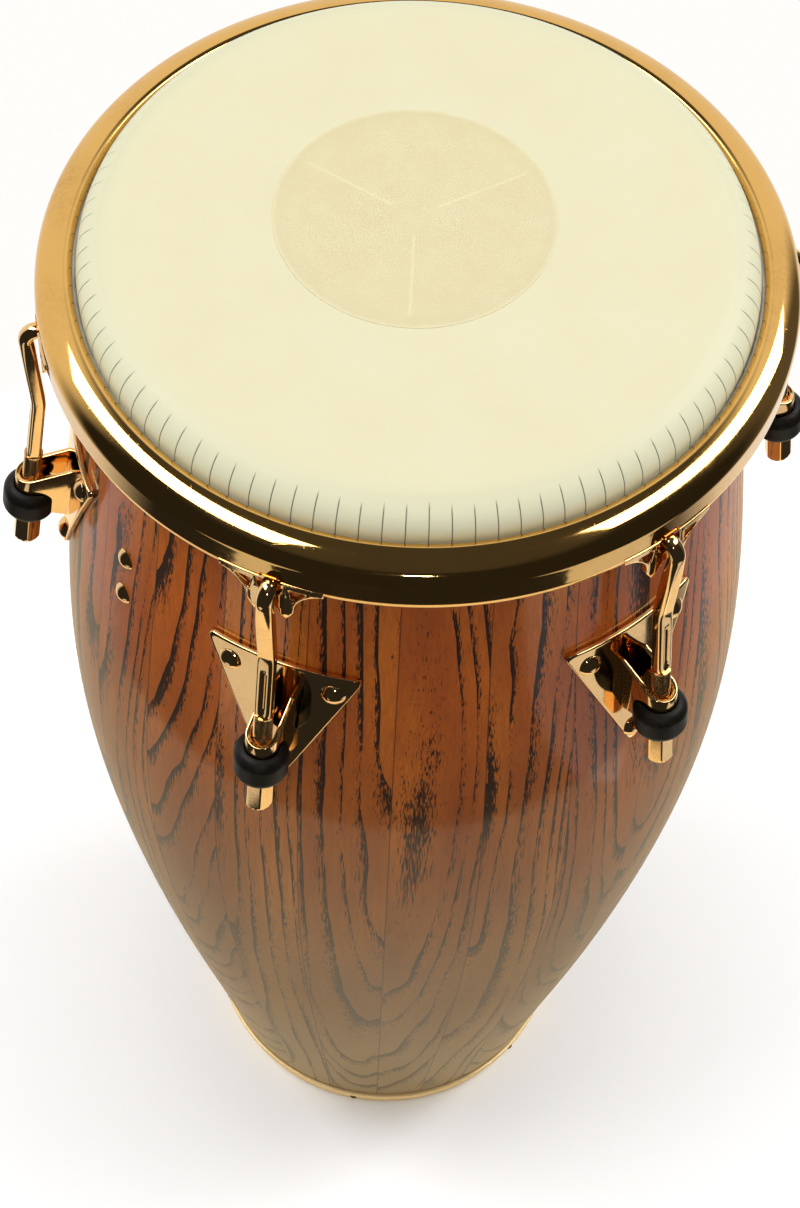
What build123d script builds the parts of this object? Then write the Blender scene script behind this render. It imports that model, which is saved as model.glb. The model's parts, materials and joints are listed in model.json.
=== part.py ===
from build123d import *
import os
from math import cos, radians, sin, sqrt, tan

# Conga drum: a staved wooden shell with a tensioned head. Millimetres, +Z up, origin at the
# centre of the shell's bottom face. Each lug is modelled on the +X side, in the half-plane
# y = 0, and then turned to its place round the Z axis.

# ---------------------------------------------------------------- driving dimensions
OVERALL_HEIGHT = 762.0

# shell of glued staves: outer radius at a few heights, thinner towards the bottom
STAVE_COUNT = 24
STAVE_THICKNESS = 12.0
SHELL_STATIONS = [
    (0.0, 109.0),
    (160.0, 143.6),
    (320.0, 172.2),
    (470.0, 182.6),
    (640.0, 166.2),
    (738.0, 157.6),
]
EDGE_CREST_RADIUS = 145.8
RING_BOTTOM = 702.0
RING_THICKNESS = 4.2

# head: film stretched over the bearing edge and held in a metal hoop
HEAD_FLAT_RADIUS = 142.0
HEAD_COLLAR_RADIUS = 160.2
SKIN_THICKNESS = 0.5
DOT_RADIUS = 66.5
DOT_THICKNESS = 0.3
DOT_CENTRE = (-3.0, 10.0)
HOOP_WIDTH = 7.8
HOOP_BOTTOM = 733.4
HOOP_TOP = 742.2

# rim: rolled sheet, with six ears
RIM_OUTER_RADIUS = 180.0
RIM_INNER_RADIUS = 162.0
RIM_SHEET = 3.0
RIM_CREST = 746.6
RIM_CREST_RADIUS = 168.6
RIM_EQUATOR = 731.0
RIM_LIP = 720.0
LUG_COUNT = 6
FIRST_LUG_ANGLE = 11.0

# ear of the rim, as drawn on the flattened cylinder: heights in Z, widths along the circle
EAR_THICKNESS = 3.8
EAR_INNER_RADIUS = 176.9
EAR_HALF_WIDTH = 25.0
EAR_CLAW_BOTTOM = 696.0
EAR_CLAW_HALF = 8.8
HOOK_HOLE_HALF = 6.2
HOOK_HOLE_BOTTOM = 714.2
HOOK_HOLE_TOP = 724.8
HOOK_HOLE_SLOPE = 22.0

# hook: a forged J with a flattened shank and a threaded end that leans out with the shell
HOOK_TOP = 722.8
HOOK_THICKNESS = 7.6
HOOK_WIDTH = 8.4
HOOK_GAP = 6.6
HOOK_MIDDLE_RADIUS = 179.5
ROD_RADIUS = 4.76
ROD_TILT = 8.0
SHANK_BEND_HEIGHT = 666.0
THREAD_START = 42.0
ROD_END = 24.0
SLOT_WIDTH = 2.4
SLOT_DEPTH = 1.3
SLOT_LENGTH = 32.0

# nut, washer and rubber bumper, along the rod from the washer's underside
FOOT_RADIUS = 196.2
FOOT_HEIGHT = 582.0
NUT_FLATS = 12.7
NUT_LENGTH = 30.0
NUT_BORE_DEPTH = 26.5
NUT_CLEARANCE = 0.06
WASHER_RADIUS = 8.6
WASHER_THICKNESS = 2.0
BUMPER_RADIUS = 13.5
BUMPER_TOP = -17.0
BUMPER_BOTTOM = 3.2
BUMPER_BORE = 8.0

# side plate and its strap
PLATE_THICKNESS = 3.0
PLATE_TOP = 637.0
PLATE_BOTTOM = 541.0
PLATE_HALF_WIDTH = 40.0
PLATE_TILT = 7.3
PLATE_MID_HEIGHT = 590.0
STRAP_SHEET = 2.5
STRAP_INNER_HALF = 5.7
STRAP_HEIGHT_AT_PLATE = 37.0
STRAP_HEIGHT_AT_NOSE = 22.0
BOLT_PLACES = [(-26.5, 624.5), (26.5, 624.5), (0.0, 556.0)]
BOLT_HEAD_RADIUS = 6.2
BOLT_HEAD_HEIGHT = 3.4
BOLT_SHANK_RADIUS = 3.0
BACKING_THICKNESS = 2.0

# small parts of the shell
BAND_HEIGHT = 14.0
BAND_THICKNESS = 2.0
BAND_NAIL_COUNT = 6
BAND_NAIL_ANGLE = 262.0
SHELL_SCREW_ANGLE = 216.7
SHELL_SCREW_HEIGHTS = [628.0, 601.0]
SHELL_SCREW_HEAD_RADIUS = 5.8
SHELL_SCREW_HEAD_HEIGHT = 3.0

FIT_GAP = 0.3
INNER_STATIONS = [(z, r - STAVE_THICKNESS) for z, r in SHELL_STATIONS]

# a cylinder or box that stands on its plane, or hangs below it
STANDING = (Align.CENTER, Align.CENTER, Align.MIN)
HANGING = (Align.CENTER, Align.CENTER, Align.MAX)


def rz(points):
    """Points (radius, height) in the half-plane y = 0."""
    return [Vector(r, 0, z) for r, z in points]


def revolved(edges, angle=360.0):
    """Solid of revolution about Z of the face inside a closed chain of edges."""
    return revolve(make_face(edges), Axis.Z, angle)


def polygon(points):
    """Closed chain of straight edges through points (radius, height)."""
    return Polyline(*rz(points), close=True)


def on_lug(shape, index):
    """A shape built at the +X side, turned to the place of one lug."""
    return Rot(0, 0, FIRST_LUG_ANGLE + index * 360.0 / LUG_COUNT) * shape


def save(shape, node):
    export_step(shape, f"parts/{node}.step")


def single(shape):
    """The one solid of a boolean result."""
    solids = shape.solids()
    assert len(solids) == 1, len(solids)
    return solids[0]


def shell_radius(z):
    """Outer radius of the shell at height z, read from its profile curve."""
    cut = Edge.make_line((0, 0, z), (400, 0, z))
    return OUTER_PROFILE.edges()[0].find_intersection_points(cut)[0].X


# ---------------------------------------------------------------- shell
OUTER_PROFILE = Spline(*rz([(r, z) for z, r in SHELL_STATIONS]))
INNER_PROFILE = Spline(*rz([(r, z) for z, r in INNER_STATIONS]))
SKIN_UNDERSIDE = OVERALL_HEIGHT - DOT_THICKNESS - SKIN_THICKNESS
EDGE_CREST = SKIN_UNDERSIDE - 0.7


def stave_section():
    outer_bottom, outer_top = OUTER_PROFILE @ 0, OUTER_PROFILE @ 1
    inner_bottom, inner_top = INNER_PROFILE @ 0, INNER_PROFILE @ 1
    crest = Vector(EDGE_CREST_RADIUS, 0, EDGE_CREST)
    round_middle = Vector(153.3, 0, 754.6)
    return [
        OUTER_PROFILE,
        ThreePointArc(outer_top, round_middle, crest),
        Line(crest, inner_top),
        INNER_PROFILE,
        Line(inner_bottom, outer_bottom),
    ]


def make_staves():
    pitch = 360.0 / STAVE_COUNT
    stave = single(revolved(stave_section(), pitch))
    return Compound(children=[Rot(0, 0, i * pitch) * stave for i in range(STAVE_COUNT)])


def make_bearing_ring():
    """Inner wooden ring that stiffens the mouth and forms the inner part of the edge."""
    top = Vector(EDGE_CREST_RADIUS - 0.4, 0, EDGE_CREST - 0.1)
    waist = Vector(top.X, 0, 742.0)
    foot = Vector(shell_radius(RING_BOTTOM) - STAVE_THICKNESS - 0.4, 0, RING_BOTTOM)
    across = Vector(RING_THICKNESS, 0, 0)
    inner_top = Vector(waist.X - RING_THICKNESS, 0, 755.6)
    return revolved([
        Line(top, waist),
        Line(waist, foot),
        Line(foot, foot - across),
        Line(foot - across, waist - across),
        Line(waist - across, inner_top),
        ThreePointArc(inner_top, Vector(142.3, 0, 759.0), top),
    ])


def make_bottom_band():
    low, high = OUTER_PROFILE @ 0, Vector(shell_radius(BAND_HEIGHT), 0, BAND_HEIGHT)
    out = Vector(BAND_THICKNESS + 0.1, 0, 0)
    gap = Vector(0.1, 0, 0)
    section = make_face(Polyline(low + gap, low + out, high + out, high + gap, close=True))
    band = revolve(section, Axis.Z)
    outer_edges = band.edges().sort_by(Axis.Z)[-1:]
    return fillet(outer_edges, 0.8)


def make_band_nails():
    """Dome-head nails that hold the band, one every sixty degrees."""
    z = BAND_HEIGHT / 2
    r = shell_radius(z) + BAND_THICKNESS + 0.1
    nail = dome_head(2.4, 1.2) + Cylinder(1.2, 9.0, align=HANGING)
    placed = Pos(r, 0, z) * Rot(0, 90, 0) * nail
    step = 360.0 / BAND_NAIL_COUNT
    return [Rot(0, 0, BAND_NAIL_ANGLE + i * step) * placed for i in range(BAND_NAIL_COUNT)]


def dome_head(radius, height):
    """Spherical cap sitting on the XY plane."""
    sphere_r = (radius * radius + height * height) / (2 * height)
    ball = Pos(0, 0, height - sphere_r) * Sphere(sphere_r)
    keep = Box(4 * radius, 4 * radius, height * 2, align=STANDING)
    return ball & keep


# ---------------------------------------------------------------- head
def make_skin():
    """Film: flat top, quarter-round collar, and a short skirt that goes into the hoop."""
    top = OVERALL_HEIGHT - DOT_THICKNESS
    collar = HEAD_COLLAR_RADIUS - HEAD_FLAT_RADIUS
    centre = Vector(HEAD_FLAT_RADIUS, 0, top - collar)

    def quarter(radius):
        middle = centre + Vector(radius * sin(radians(45)), 0, radius * cos(radians(45)))
        return ThreePointArc(centre + Vector(0, 0, radius), middle, centre + Vector(radius, 0, 0))

    outer, inner = quarter(collar), quarter(collar - SKIN_THICKNESS)
    foot_z = HOOP_BOTTOM + 0.6
    foot_out = Vector(HEAD_COLLAR_RADIUS, 0, foot_z)
    foot_in = Vector(HEAD_COLLAR_RADIUS - SKIN_THICKNESS, 0, foot_z)
    axis_top, axis_low = Vector(0, 0, top), Vector(0, 0, top - SKIN_THICKNESS)
    return revolved([
        Line(axis_top, outer @ 0),
        outer,
        Line(outer @ 1, foot_out),
        Line(foot_out, foot_in),
        Line(foot_in, inner @ 1),
        inner,
        Line(inner @ 0, axis_low),
        Line(axis_low, axis_top),
    ])


def make_dot():
    dot = Cylinder(DOT_RADIUS, DOT_THICKNESS, align=HANGING)
    return Pos(*DOT_CENTRE, OVERALL_HEIGHT) * dot


def make_flesh_hoop():
    inner = HEAD_COLLAR_RADIUS + 0.05
    outer = inner + HOOP_WIDTH
    low, high = HOOP_BOTTOM, HOOP_TOP
    ring = revolved([polygon([(inner, low), (outer, low), (outer, high), (inner, high)])])
    return fillet(ring.edges().filter_by(GeomType.CIRCLE), 1.2)


# ---------------------------------------------------------------- rim
def make_rim_ring():
    """Rolled rim: a flange over the hoop, the crest, the shoulder and the outer skirt."""
    under = HOOP_TOP + FIT_GAP
    inner_low = Vector(RIM_INNER_RADIUS, 0, under)
    inner_top = Vector(RIM_INNER_RADIUS, 0, RIM_CREST - 2.2)
    crest = Vector(RIM_CREST_RADIUS, 0, RIM_CREST)
    shoulder = Vector(176.8, 0, 742.6)
    equator = Vector(RIM_OUTER_RADIUS, 0, RIM_EQUATOR)
    lip = Vector(RIM_OUTER_RADIUS - 1.0, 0, RIM_LIP)
    sheet = Vector(RIM_SHEET, 0, 0)
    flange_end = Vector(171.6, 0, under)
    return revolved([
        Line(inner_low, inner_top),
        ThreePointArc(inner_top, Vector(163.9, 0, 746.1), crest),
        ThreePointArc(crest, shoulder, equator),
        ThreePointArc(equator, Vector(179.8, 0, 725.2), lip),
        Line(lip, lip - sheet),
        ThreePointArc(lip - sheet, Vector(176.9, 0, 725.2), equator - sheet),
        ThreePointArc(equator - sheet, Vector(174.55, 0, 740.5), flange_end),
        Line(flange_end, inner_low),
    ])


def flat_to_radial(face, inner_radius, thickness):
    """Sheet between two cylinders about Z, with the outline of a face drawn in plane YZ."""
    tube = Cylinder(inner_radius + thickness, 900) - Cylinder(inner_radius, 900)
    tube = Pos(0, 0, 450) * tube
    return tube & extrude(Pos(100, 0, 0) * face, 120, dir=(1, 0, 0))


def ear_outline():
    """Right half and left half of the fishtail, mirrored, as one closed face in plane YZ."""
    top = RIM_LIP + 3.5
    shoulder = (EAR_HALF_WIDTH, RIM_LIP)
    claw_out = (EAR_CLAW_HALF + 1.4, EAR_CLAW_BOTTOM + 4.0)
    barb = (EAR_CLAW_HALF + 2.4, EAR_CLAW_BOTTOM + 6.4)
    claw_tip = (EAR_CLAW_HALF - 1.0, EAR_CLAW_BOTTOM)
    claw_in = (4.6, EAR_CLAW_BOTTOM + 2.2)
    notch = (0.0, EAR_CLAW_BOTTOM + 9.0)

    def yz(point, side):
        return Vector(0, side * point[0], point[1])

    def half(side):
        return [
            Line(yz((0.0, top), side), yz((EAR_HALF_WIDTH, top), side)),
            Line(yz((EAR_HALF_WIDTH, top), side), yz(shoulder, side)),
            ThreePointArc(yz(shoulder, side), yz((14.6, 713.5), side), yz(barb, side)),
            Line(yz(barb, side), yz(claw_out, side)),
            Line(yz(claw_out, side), yz(claw_tip, side)),
            Line(yz(claw_tip, side), yz(claw_in, side)),
            ThreePointArc(yz(claw_in, side), yz((2.4, 703.4), side), yz(notch, side)),
        ]

    return make_face(half(1) + half(-1))


def ear_openings():
    """Hole for the hook and a pierced triangle on each side of it, as faces in plane YZ."""
    height = HOOK_HOLE_TOP - HOOK_HOLE_BOTTOM
    hole = fillet(Face.make_rect(2 * HOOK_HOLE_HALF, height).vertices(), 3.2)
    faces = [Plane.YZ * (Pos(0, (HOOK_HOLE_TOP + HOOK_HOLE_BOTTOM) / 2) * hole)]
    for side in (1, -1):
        corners = [(9.2, 719.6), (17.6, 719.6), (10.2, 709.4)]
        wire = Polyline(*[Vector(0, side * y, z) for y, z in corners], close=True)
        triangle = make_face(wire)
        faces.append(fillet(triangle.vertices(), 0.8))
    return faces


def make_rim():
    ring = make_rim_ring()
    plate = flat_to_radial(ear_outline(), EAR_INNER_RADIUS, EAR_THICKNESS)
    hole, *triangles = ear_openings()
    slope = radians(HOOK_HOLE_SLOPE)
    down_and_out = (cos(slope), 0, -sin(slope))
    lead = 10.0
    start = Pos(EAR_INNER_RADIUS - lead, 0, lead * tan(slope)) * hole
    cutters = [extrude(start, 30, dir=down_and_out)]
    cutters += [extrude(Pos(150, 0, 0) * face, 60, dir=(1, 0, 0)) for face in triangles]
    rim = ring
    for i in range(LUG_COUNT):
        rim = rim + on_lug(plate, i)
    for i in range(LUG_COUNT):
        for cutter in cutters:
            rim = rim - on_lug(cutter, i)
    return single(rim)


# ---------------------------------------------------------------- hooks, nuts, washers, bumpers
def along_rod(s, out=0.0):
    """Point on the rod's line, s below the washer's underside, and out across it."""
    t = radians(ROD_TILT)
    return Vector(FOOT_RADIUS + s * sin(t) + out * cos(t), 0, FOOT_HEIGHT - s * cos(t) + out * sin(t))


def rod_frame(s=0.0):
    """Plane across the rod at s: its Z points down the rod, its X outwards."""
    t = radians(ROD_TILT)
    return Plane(origin=along_rod(s), x_dir=(cos(t), 0, sin(t)), z_dir=(sin(t), 0, -cos(t)))


def make_hook():
    outer_leg = HOOK_MIDDLE_RADIUS + HOOK_GAP / 2 + HOOK_THICKNESS / 2
    inner_leg = HOOK_MIDDLE_RADIUS - HOOK_GAP / 2 - HOOK_THICKNESS / 2
    bend_top = HOOK_TOP - HOOK_THICKNESS / 2
    tip_height = bend_top - 17.0
    knee_s = (FOOT_HEIGHT - SHANK_BEND_HEIGHT) / cos(radians(ROD_TILT))
    knee = along_rod(knee_s)
    points = [
        Vector(inner_leg, 0, tip_height),
        Vector(inner_leg, 0, bend_top),
        Vector(outer_leg, 0, bend_top),
        knee,
        along_rod(-THREAD_START),
    ]
    path = FilletPolyline(*points, radius=[6.3, 6.3, 45.0])
    start = Plane(origin=path @ 0, z_dir=path % 0, x_dir=(0, 1, 0))
    section = start * fillet(Rectangle(HOOK_WIDTH, HOOK_THICKNESS).vertices(), 2.6)
    shank = sweep(section, path)
    threaded = Cylinder(ROD_RADIUS, THREAD_START + 1.0 + ROD_END, align=STANDING)
    rod = rod_frame(-THREAD_START - 1.0) * threaded
    rod = chamfer(rod.edges().filter_by(GeomType.CIRCLE).sort_by(Axis.Z)[0], 1.0)
    slot_middle = along_rod(-THREAD_START - SLOT_LENGTH / 2 - 4.0, HOOK_THICKNESS / 2)
    slot_plane = Plane(origin=slot_middle, x_dir=rod_frame().x_dir, z_dir=rod_frame().z_dir)
    slot = slot_plane * Box(2 * SLOT_DEPTH, SLOT_WIDTH, SLOT_LENGTH)
    return single((shank + rod) - slot)


def make_nut():
    """Long hexagon nut with a domed, closed end."""
    hexagon = extrude(RegularPolygon(NUT_FLATS / 2, 6, major_radius=False), NUT_LENGTH)
    corner = NUT_FLATS / sqrt(3)
    dome_r = corner + 0.4
    dome = Pos(0, 0, NUT_LENGTH - dome_r) * Sphere(dome_r)
    body = Cylinder(corner + 1, NUT_LENGTH - dome_r, align=STANDING) + dome
    bore = Cylinder(ROD_RADIUS + NUT_CLEARANCE, NUT_BORE_DEPTH, align=STANDING)
    return single((hexagon & body) - bore)


def make_washer():
    washer = Cylinder(WASHER_RADIUS, WASHER_THICKNESS, align=HANGING)
    return washer - Cylinder(ROD_RADIUS + 0.4, WASHER_THICKNESS, align=HANGING)


def strap_pocket(gap, depth):
    """U-shaped block round the strap's nose, open towards the plate, above the washer."""
    half = STRAP_INNER_HALF + STRAP_SHEET + gap
    nose = Cylinder(half, depth, align=HANGING)
    back = Box(30.0, 2 * half, depth, align=(Align.MAX, Align.CENTER, Align.MAX))
    return nose + back


def make_bumper():
    """Rubber ring round the strap's nose, notched where the strap runs back to the plate."""
    height = BUMPER_BOTTOM - BUMPER_TOP
    ring = Cylinder(BUMPER_RADIUS, height, align=STANDING)
    ring = fillet(ring.edges().filter_by(GeomType.CIRCLE), 6.0)
    ring = Pos(0, 0, BUMPER_TOP) * ring
    ring = ring - Cylinder(BUMPER_BORE, 3 * height)
    return single(ring - strap_pocket(0.5, 2 * height))


# ---------------------------------------------------------------- side plates
def plate_radius(z):
    """Inner radius of the side plate, a cone that lies on the shell."""
    base = shell_radius(PLATE_MID_HEIGHT) + 0.5
    return base + (PLATE_MID_HEIGHT - z) * tan(radians(PLATE_TILT))


def conical_sheet(inner_offset, thickness):
    low, high = 500.0, 680.0
    a, b = plate_radius(low) + inner_offset, plate_radius(high) + inner_offset
    return revolved([polygon([(a, low), (a + thickness, low), (b + thickness, high), (b, high)])])


def triangle_prism(margin):
    """Prism along X with the plate's outline: level top edge and a point at the bottom."""
    half, top, low = PLATE_HALF_WIDTH - margin, PLATE_TOP - margin, PLATE_BOTTOM + 2 * margin
    corners = [Vector(120, -half, top), Vector(120, half, top), Vector(120, 0, low)]
    face = fillet(make_face(Polyline(*corners, close=True)).vertices(), 3.0)
    return extrude(face, 120, dir=(1, 0, 0))


def bolt_frame(y, z):
    """Plane on the plate's outer face at a bolt, its Z pointing out of the shell."""
    r = plate_radius(z) + PLATE_THICKNESS
    turn = y / r
    t = radians(PLATE_TILT)
    normal = Vector(cos(turn) * cos(t), sin(turn) * cos(t), sin(t))
    return Plane(origin=(r * cos(turn), r * sin(turn), z), z_dir=normal)


def make_side_plate():
    sheet = conical_sheet(0.0, PLATE_THICKNESS) & triangle_prism(0.0)
    for y, z in BOLT_PLACES:
        sheet = sheet - bolt_frame(y, z) * Cylinder(BOLT_SHANK_RADIUS + 0.2, 20)
    return single(sheet)


def make_strap():
    """U-strap that stands on the plate, with its nose round the rod."""
    outer = STRAP_INNER_HALF + STRAP_SHEET
    tall = 80.0

    def u_block(half):
        nose = Cylinder(half, tall)
        back = Box(40.0, 2 * half, tall, align=(Align.MAX, Align.CENTER, Align.CENTER))
        return rod_frame(-10.0) * (nose + back)

    wall = u_block(outer) - u_block(STRAP_INNER_HALF)
    inner_r = plate_radius(600.0) + PLATE_THICKNESS - 2.0
    nose_low = along_rod(-WASHER_THICKNESS, outer + 3)
    nose_inner_low = along_rod(-WASHER_THICKNESS, -outer)
    nose_high = along_rod(-WASHER_THICKNESS - STRAP_HEIGHT_AT_NOSE, outer + 3)
    top_at_plate = nose_inner_low.Z - 2.0 + STRAP_HEIGHT_AT_PLATE
    side = make_face(Polyline(
        Vector(inner_r - 6, 0, top_at_plate),
        nose_high,
        nose_low,
        nose_inner_low,
        Vector(inner_r - 6, 0, nose_inner_low.Z - 2.0),
        close=True))
    side_block = extrude(Pos(0, -30, 0) * side, 60, dir=(0, 1, 0))
    inside_plate = conical_sheet(PLATE_THICKNESS - 60.0, 60.0)
    return single((wall & side_block) - inside_plate)


def make_backing_plate():
    """Steel plate inside the shell that the bolts of one side plate are drawn against."""
    height, half = 92.0, 36.0
    middle = shell_radius(PLATE_MID_HEIGHT) - STAVE_THICKNESS - 1.1
    low, high = PLATE_MID_HEIGHT - height / 2, PLATE_MID_HEIGHT + height / 2
    lean = tan(radians(PLATE_TILT)) * height / 2
    a, b = middle + lean, middle - lean
    t = BACKING_THICKNESS
    sheet = revolved([polygon([(a, low), (a - t, low), (b - t, high), (b, high)])])
    outward = (Align.MIN, Align.CENTER, Align.CENTER)
    plate = sheet & Pos(100, 0, PLATE_MID_HEIGHT) * Box(200, 2 * half, 200, align=outward)
    for y, z in BOLT_PLACES:
        plate = plate - bolt_frame(y, z) * Cylinder(BOLT_SHANK_RADIUS + 0.2, 60)
    return single(plate)


def make_plate_bolts():
    """Carriage bolts through plate, stave and backing plate."""
    length = PLATE_THICKNESS + STAVE_THICKNESS + BACKING_THICKNESS + 9.0
    shank = Cylinder(BOLT_SHANK_RADIUS, length, align=HANGING)
    bolt = dome_head(BOLT_HEAD_RADIUS, BOLT_HEAD_HEIGHT) + shank
    return [bolt_frame(y, z) * bolt for y, z in BOLT_PLACES]


def make_bolt_nuts():
    """Hexagon nuts and washers inside the shell, one for each plate bolt."""
    washer_depth = PLATE_THICKNESS + STAVE_THICKNESS + BACKING_THICKNESS + 2.2
    washer_thickness = 1.2
    washer = Cylinder(6.0, washer_thickness, align=HANGING) - Cylinder(BOLT_SHANK_RADIUS + 0.2, 12)
    hexagon = extrude(RegularPolygon(5.0, 6, major_radius=False), -5.0)
    nut = hexagon - Cylinder(BOLT_SHANK_RADIUS + 0.05, 12)
    nut_depth = washer_depth + washer_thickness
    stack = []
    for y, z in BOLT_PLACES:
        stack.append(bolt_frame(y, z) * Pos(0, 0, -washer_depth) * washer)
        stack.append(bolt_frame(y, z) * Pos(0, 0, -nut_depth) * nut)
    return stack


def screw_frame(z):
    """Plane on the shell's outer face at height z, in the half-plane y = 0."""
    slope = (shell_radius(z + 1) - shell_radius(z - 1)) / 2
    return Plane(origin=(shell_radius(z) + 0.1, 0, z), z_dir=(1, 0, -slope))


def make_shell_screws():
    shank = Cylinder(2.0, STAVE_THICKNESS + 6.0, align=HANGING)
    screw = dome_head(SHELL_SCREW_HEAD_RADIUS, SHELL_SCREW_HEAD_HEIGHT) + shank
    turn = Rot(0, 0, SHELL_SCREW_ANGLE)
    return [turn * (screw_frame(z) * screw) for z in SHELL_SCREW_HEIGHTS]


def make_shell_screw_nuts():
    nut = extrude(RegularPolygon(3.5, 6, major_radius=False), -3.2) - Cylinder(2.05, 12)
    turn = Rot(0, 0, SHELL_SCREW_ANGLE)
    inside = Pos(0, 0, -STAVE_THICKNESS - 0.6)
    return [turn * (screw_frame(z) * inside * nut) for z in SHELL_SCREW_HEIGHTS]


# ---------------------------------------------------------------- drilling the staves
def drilled(staves, bolts, screws, nails):
    """Staves with a clear hole for every bolt, screw and nail that crosses them."""
    drills = []
    for i in range(LUG_COUNT):
        for y, z in BOLT_PLACES:
            drills.append(on_lug(bolt_frame(y, z) * Cylinder(BOLT_SHANK_RADIUS + 0.1, 60), i))
    for z in SHELL_SCREW_HEIGHTS:
        drills.append(Rot(0, 0, SHELL_SCREW_ANGLE) * (screw_frame(z) * Cylinder(2.1, 60)))
    for nail in nails:
        drills.append(nail)
    result = []
    for stave in staves.solids():
        box = stave.bounding_box()
        for drill in drills:
            if overlaps(box, drill.bounding_box()):
                stave = single(stave - drill)
        result.append(stave)
    return result


def overlaps(a, b):
    """Whether two bounding boxes share any space."""
    pairs = ((a.min.X, a.max.X, b.min.X, b.max.X), (a.min.Y, a.max.Y, b.min.Y, b.max.Y),
             (a.min.Z, a.max.Z, b.min.Z, b.max.Z))
    return all(a0 < b1 and b0 < a1 for a0, a1, b0, b1 in pairs)


def main():
    os.makedirs("parts", exist_ok=True)
    nails = make_band_nails()
    bolts = [on_lug(bolt, i) for i in range(LUG_COUNT) for bolt in make_plate_bolts()]
    nuts_inside = [on_lug(nut, i) for i in range(LUG_COUNT) for nut in make_bolt_nuts()]
    screws = make_shell_screws()
    band = make_bottom_band()
    for nail in nails:
        band = band - nail

    save(Compound(children=drilled(make_staves(), bolts, screws, nails)), "shell_staves")
    save(make_bearing_ring(), "bearing_edge_ring")
    save(band, "bottom_band")
    save(Compound(children=nails), "bottom_band_nails")
    save(Compound(children=screws), "shell_screws")
    save(Compound(children=make_shell_screw_nuts()), "shell_screw_nuts")
    save(make_skin(), "head_skin")
    save(make_dot(), "head_centre_patch")
    save(make_flesh_hoop(), "head_flesh_hoop")
    save(make_rim(), "rim")
    save(Compound(children=bolts), "side_plate_bolts")
    save(Compound(children=nuts_inside), "side_plate_bolt_nuts")

    per_lug = {
        "side_plate": make_side_plate(),
        "strap": make_strap(),
        "backing_plate": make_backing_plate(),
        "hook": make_hook(),
        "lug_nut": rod_frame() * make_nut(),
        "lug_washer": rod_frame() * make_washer(),
        "bumper": rod_frame() * make_bumper(),
    }
    for name, shape in per_lug.items():
        for i in range(LUG_COUNT):
            save(on_lug(shape, i), f"{name}_{i + 1}")


main()
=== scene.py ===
import json
import math
import random

import bmesh
import bpy
import numpy
from mathutils import Matrix, Vector


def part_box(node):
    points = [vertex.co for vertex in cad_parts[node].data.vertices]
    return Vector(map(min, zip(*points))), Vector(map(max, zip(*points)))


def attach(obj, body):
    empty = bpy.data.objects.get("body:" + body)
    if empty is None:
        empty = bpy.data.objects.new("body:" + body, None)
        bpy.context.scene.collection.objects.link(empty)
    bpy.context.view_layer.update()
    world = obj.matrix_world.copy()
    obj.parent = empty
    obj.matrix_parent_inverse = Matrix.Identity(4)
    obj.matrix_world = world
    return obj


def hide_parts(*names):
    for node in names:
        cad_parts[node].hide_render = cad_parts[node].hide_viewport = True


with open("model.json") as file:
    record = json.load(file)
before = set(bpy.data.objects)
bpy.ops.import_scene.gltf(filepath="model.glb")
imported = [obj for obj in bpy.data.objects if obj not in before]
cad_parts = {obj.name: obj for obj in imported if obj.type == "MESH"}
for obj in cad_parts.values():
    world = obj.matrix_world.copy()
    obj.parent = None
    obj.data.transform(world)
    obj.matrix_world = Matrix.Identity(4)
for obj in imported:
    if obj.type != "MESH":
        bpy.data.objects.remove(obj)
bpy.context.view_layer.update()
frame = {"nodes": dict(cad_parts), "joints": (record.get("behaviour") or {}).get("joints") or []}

MM = 0.001
nodes = frame["nodes"]
joints = {joint["name"]: joint for joint in frame["joints"]}
LUG_COUNT = 6
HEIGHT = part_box("head_centre_patch")[1].z / MM

# camera and studio, metres and degrees
CAMERA_PLACE = (0.0, -0.8265, 1.7194)
CAMERA_YAW = -0.07
CAMERA_PITCH = 57.01
CAMERA_ROLL = 2.86
CAMERA_LENS = 80.80
SENSOR = 36.0
FLOOR_RADIUS = 0.57
SKY = 0.515
WALL = 0.95
ROOM_TOP = 0.045
ROOM_FRONT = 0.025

# distance between growth rings, metres
RING_PITCH = 0.0075

# shell, millimetres as everything below
STAVE_COUNT = 24
STAVE_THICKNESS = 12.0
SHELL_TOP = 738.0
EDGE_CREST = (145.8, 760.3)
EDGE_ROUND = (153.3, 754.6)

# bottom band
BAND_HEIGHT = 14.0
BAND_THICKNESS = 2.1
BAND_GAP = 0.1

# head
HEAD_FLAT_RADIUS = 142.0
HEAD_COLLAR_RADIUS = 160.2
SKIN_THICKNESS = 0.5
SKIN_FOOT = 734.0
PATCH_THICKNESS = 0.3
TICK_COUNT = 98

# rim
RIM_INNER = 162.0
RIM_OUTER = 180.0
RIM_SHEET = 3.0
RIM_EQUATOR = 731.0
RIM_LIP = 720.0
RIM_UNDER = 742.5
EAR_INNER_RADIUS = 176.9
EAR_THICKNESS = 3.8
EAR_HALF_WIDTH = 25.0
EAR_CLAW_BOTTOM = 696.0

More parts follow.
